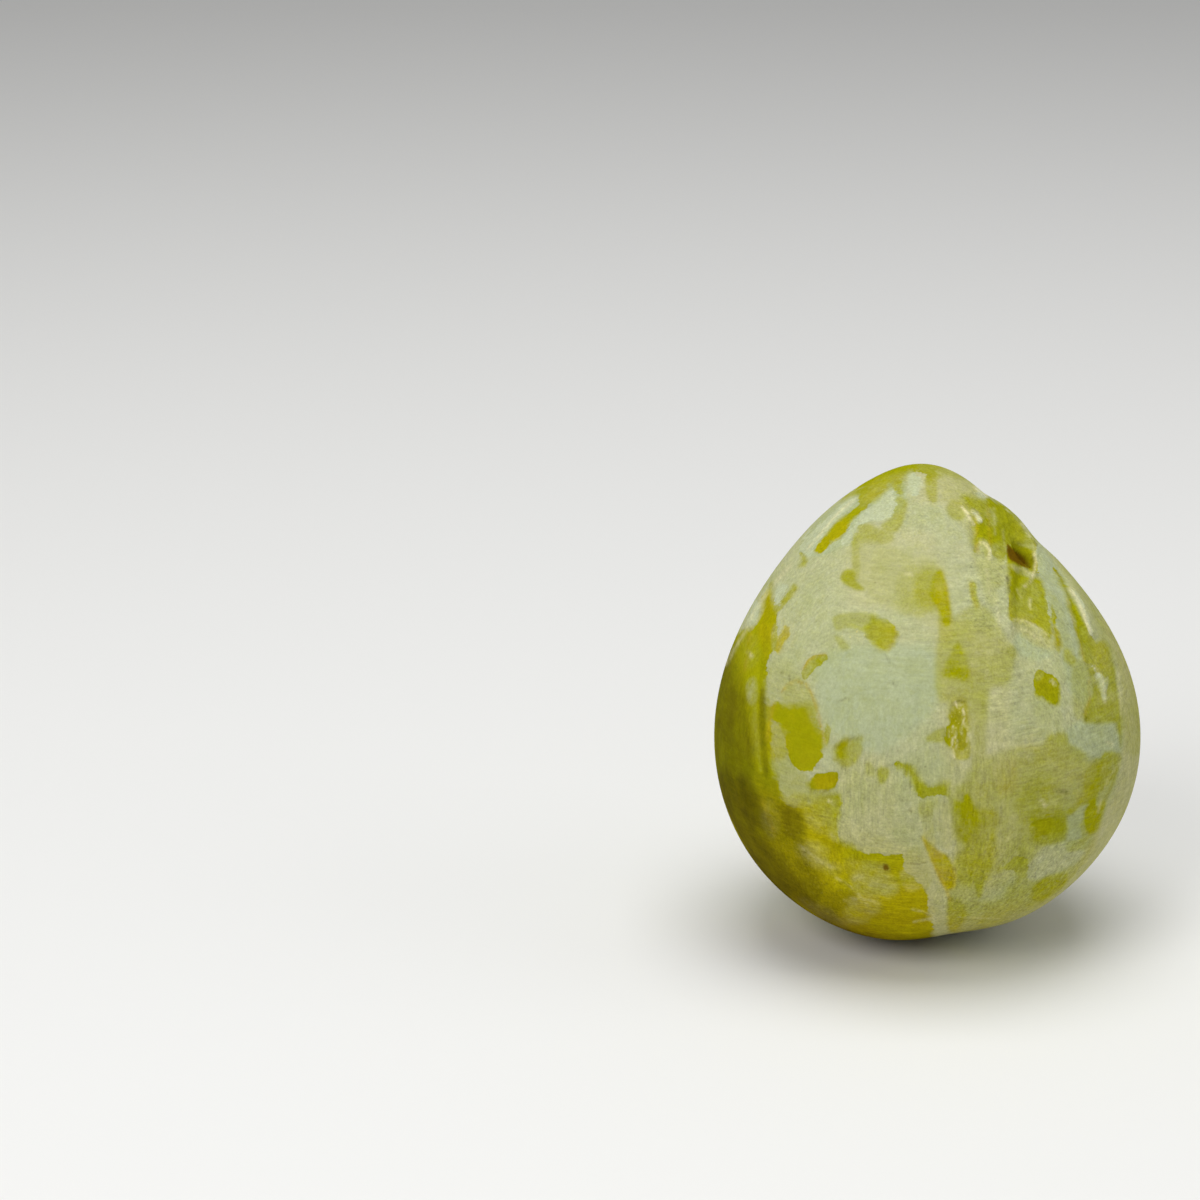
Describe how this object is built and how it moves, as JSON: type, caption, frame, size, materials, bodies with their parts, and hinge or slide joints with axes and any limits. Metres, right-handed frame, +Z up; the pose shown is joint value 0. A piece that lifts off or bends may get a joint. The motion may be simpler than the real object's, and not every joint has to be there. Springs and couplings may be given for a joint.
{
  "type": "plum",
  "caption": "Whole yellow-green plum with one tall shoulder, a stem pit and a suture, lying on a small flat spot with its stem end up.",
  "frame": {"origin": "middle of the small flat spot on which the fruit rests", "axes": "+Z up from the surface; the stem axis leans 27 degrees from +Z towards +X, and the suture faces -Y"},
  "size_m": [0.0456, 0.043, 0.0507],
  "materials": {
    "skin": "thin waxy plum skin, glossy olive green where bare and matt grey-green under patches of bloom"
  },
  "bodies": {
    "root": {"plum": "skin"}
  },
  "joints": []
}
